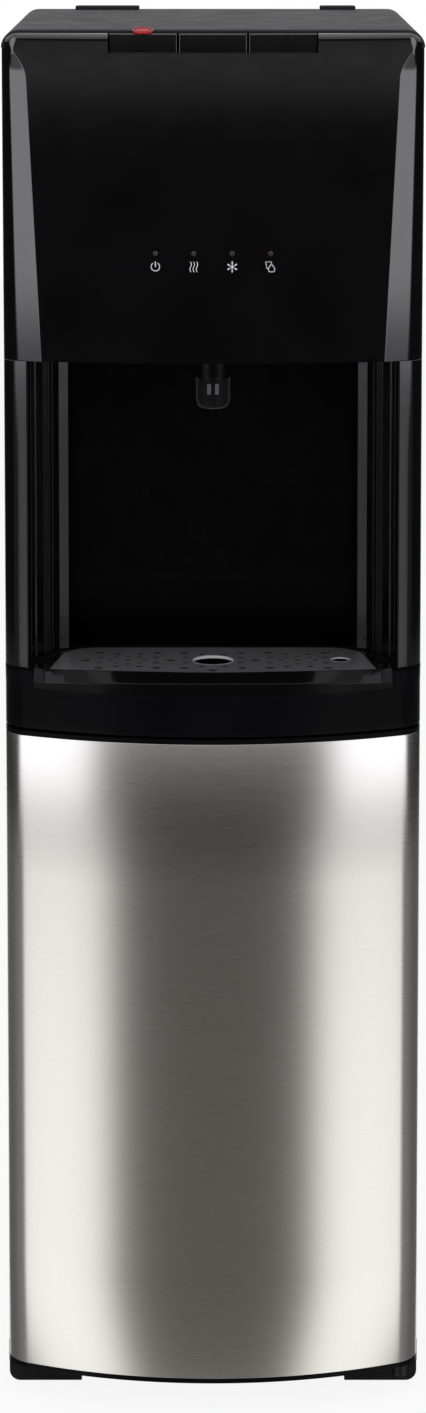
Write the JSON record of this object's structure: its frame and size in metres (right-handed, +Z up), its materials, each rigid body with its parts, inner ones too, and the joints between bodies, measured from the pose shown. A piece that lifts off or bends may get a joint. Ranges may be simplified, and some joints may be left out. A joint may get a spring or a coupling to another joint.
{
  "type": "water dispenser",
  "caption": "Floor-standing bottom-loading water dispenser with a bowed steel door, a cup niche with drip tray and push buttons along the top edge.",
  "frame": {"origin": "on the floor, under the middle of the box around the part", "axes": "+Z up, the front faces -Y, +X to the right of a person facing the front"},
  "size_m": [0.3126, 0.361, 1.036],
  "materials": {
    "gloss_black_plastic": "high gloss",
    "satin_black_plastic": "satin",
    "black_painted_steel": "fine powder coat",
    "stainless_skin": "fine brushed",
    "polished_steel": "polished",
    "galvanised_steel": "galvanised",
    "copper_pipe": "dull copper",
    "grey_liner_plastic": "satin",
    "white_plastic": "satin",
    "red_plastic": "gloss",
    "green_plastic": "gloss",
    "blue_plastic": "gloss",
    "black_rubber": "matte",
    "grille_grey_plastic": "satin",
    "circuit_board": "solder mask",
    "lens_plastic": "clear",
    "silicone_hose": "matte",
    "foam": "beads"
  },
  "bodies": {
    "cabinet": {"base": "gloss_black_plastic", "foot_pads": "black_rubber", "left_side_panel": "black_painted_steel", "right_side_panel": "black_painted_steel", "rear_panel": "black_painted_steel", "top_cover": "satin_black_plastic", "front_fascia": "gloss_black_plastic", "left_pillar": "gloss_black_plastic", "right_pillar": "gloss_black_plastic", "niche_liner": "gloss_black_plastic", "left_fin_trim": "gloss_black_plastic", "right_fin_trim": "gloss_black_plastic", "mid_shell": "gloss_black_plastic", "nozzle_collar": "gloss_black_plastic", "nozzle": "gloss_black_plastic", "hot_spring": "galvanised_steel", "room_spring": "galvanised_steel", "cold_spring": "galvanised_steel", "button_carrier": "satin_black_plastic", "micro_switches": "satin_black_plastic", "indicator_lenses": "lens_plastic", "control_board": "circuit_board", "strike_plate": "galvanised_steel", "hinge_pins": "polished_steel", "bay_liner": "grey_liner_plastic", "mid_deck": "galvanised_steel", "tank_shelf": "galvanised_steel", "compressor": "black_painted_steel", "compressor_grommets": "black_rubber", "pump": "satin_black_plastic", "probe_tube": "white_plastic", "probe_cap": "blue_plastic", "probe_clip": "grey_liner_plastic", "water_hoses": "silicone_hose", "refrigerant_lines": "copper_pipe", "filter_drier": "copper_pipe", "cold_tank": "polished_steel", "hot_tank": "polished_steel", "tank_foam": "foam", "water_valves": "white_plastic", "condenser": "black_painted_steel", "condenser_brackets": "black_painted_steel", "power_box": "satin_black_plastic", "switch_housings": "satin_black_plastic", "drain_spigot": "satin_black_plastic", "panel_screws": "galvanised_steel"},
    "door": {"door_skin": "stainless_skin", "door_top_cap": "gloss_black_plastic", "door_bottom_cap": "gloss_black_plastic", "door_liner": "grey_liner_plastic", "door_magnet": "black_rubber"},
    "hot_button": {"hot_button": "gloss_black_plastic"},
    "room_button": {"room_button": "gloss_black_plastic"},
    "cold_button": {"cold_button": "gloss_black_plastic"},
    "child_lock": {"child_lock": "red_plastic"},
    "drip_tray": {"drip_tray": "gloss_black_plastic"},
    "drip_grille": {"drip_grille": "grille_grey_plastic"},
    "hot_rocker": {"hot_rocker": "red_plastic"},
    "cold_rocker": {"cold_rocker": "green_plastic"},
    "drain_cap": {"drain_cap": "satin_black_plastic"}
  },
  "joints": [
    {"name": "door_hinge", "type": "hinge", "parent": "cabinet", "child": "door", "pos_m": [0.143, -0.12837, 0.26], "axis": [0, 0, 1], "range_deg": [0, 110]},
    {"name": "hot_button_press", "type": "slide", "parent": "cabinet", "child": "hot_button", "axis": [0, 0, -1], "range_m": [0, 0.004], "stiffness_N_per_m": 400, "springref_m": -0.003, "deforming": ["hot_spring"]},
    {"name": "room_button_press", "type": "slide", "parent": "cabinet", "child": "room_button", "axis": [0, 0, -1], "range_m": [0, 0.004], "stiffness_N_per_m": 400, "springref_m": -0.003, "deforming": ["room_spring"]},
    {"name": "cold_button_press", "type": "slide", "parent": "cabinet", "child": "cold_button", "axis": [0, 0, -1], "range_m": [0, 0.004], "stiffness_N_per_m": 400, "springref_m": -0.003, "deforming": ["cold_spring"]},
    {"name": "child_lock_slide", "type": "slide", "parent": "hot_button", "child": "child_lock", "axis": [0, 1, 0], "range_m": [0, 0.0025], "stiffness_N_per_m": 200, "springref_m": -0.002},
    {"name": "drip_tray_lift", "type": "slide", "parent": "cabinet", "child": "drip_tray", "axis": [0, 0, 1], "range_m": [0, 0.06]},
    {"name": "drip_grille_lift", "type": "slide", "parent": "drip_tray", "child": "drip_grille", "axis": [0, 0, 1], "range_m": [0, 0.04]},
    {"name": "hot_rocker_tilt", "type": "hinge", "parent": "cabinet", "child": "hot_rocker", "pos_m": [-0.118, 0.161, 0.905], "axis": [1, 0, 0], "range_deg": [-14, 0]},
    {"name": "cold_rocker_tilt", "type": "hinge", "parent": "cabinet", "child": "cold_rocker", "pos_m": [-0.09, 0.161, 0.905], "axis": [1, 0, 0], "range_deg": [-14, 0]},
    {"name": "drain_cap_turn", "type": "hinge", "parent": "cabinet", "child": "drain_cap", "pos_m": [-0.128, 0.16, 0.575], "axis": [0, 1, 0], "range_deg": [0, 720]}
  ]
}
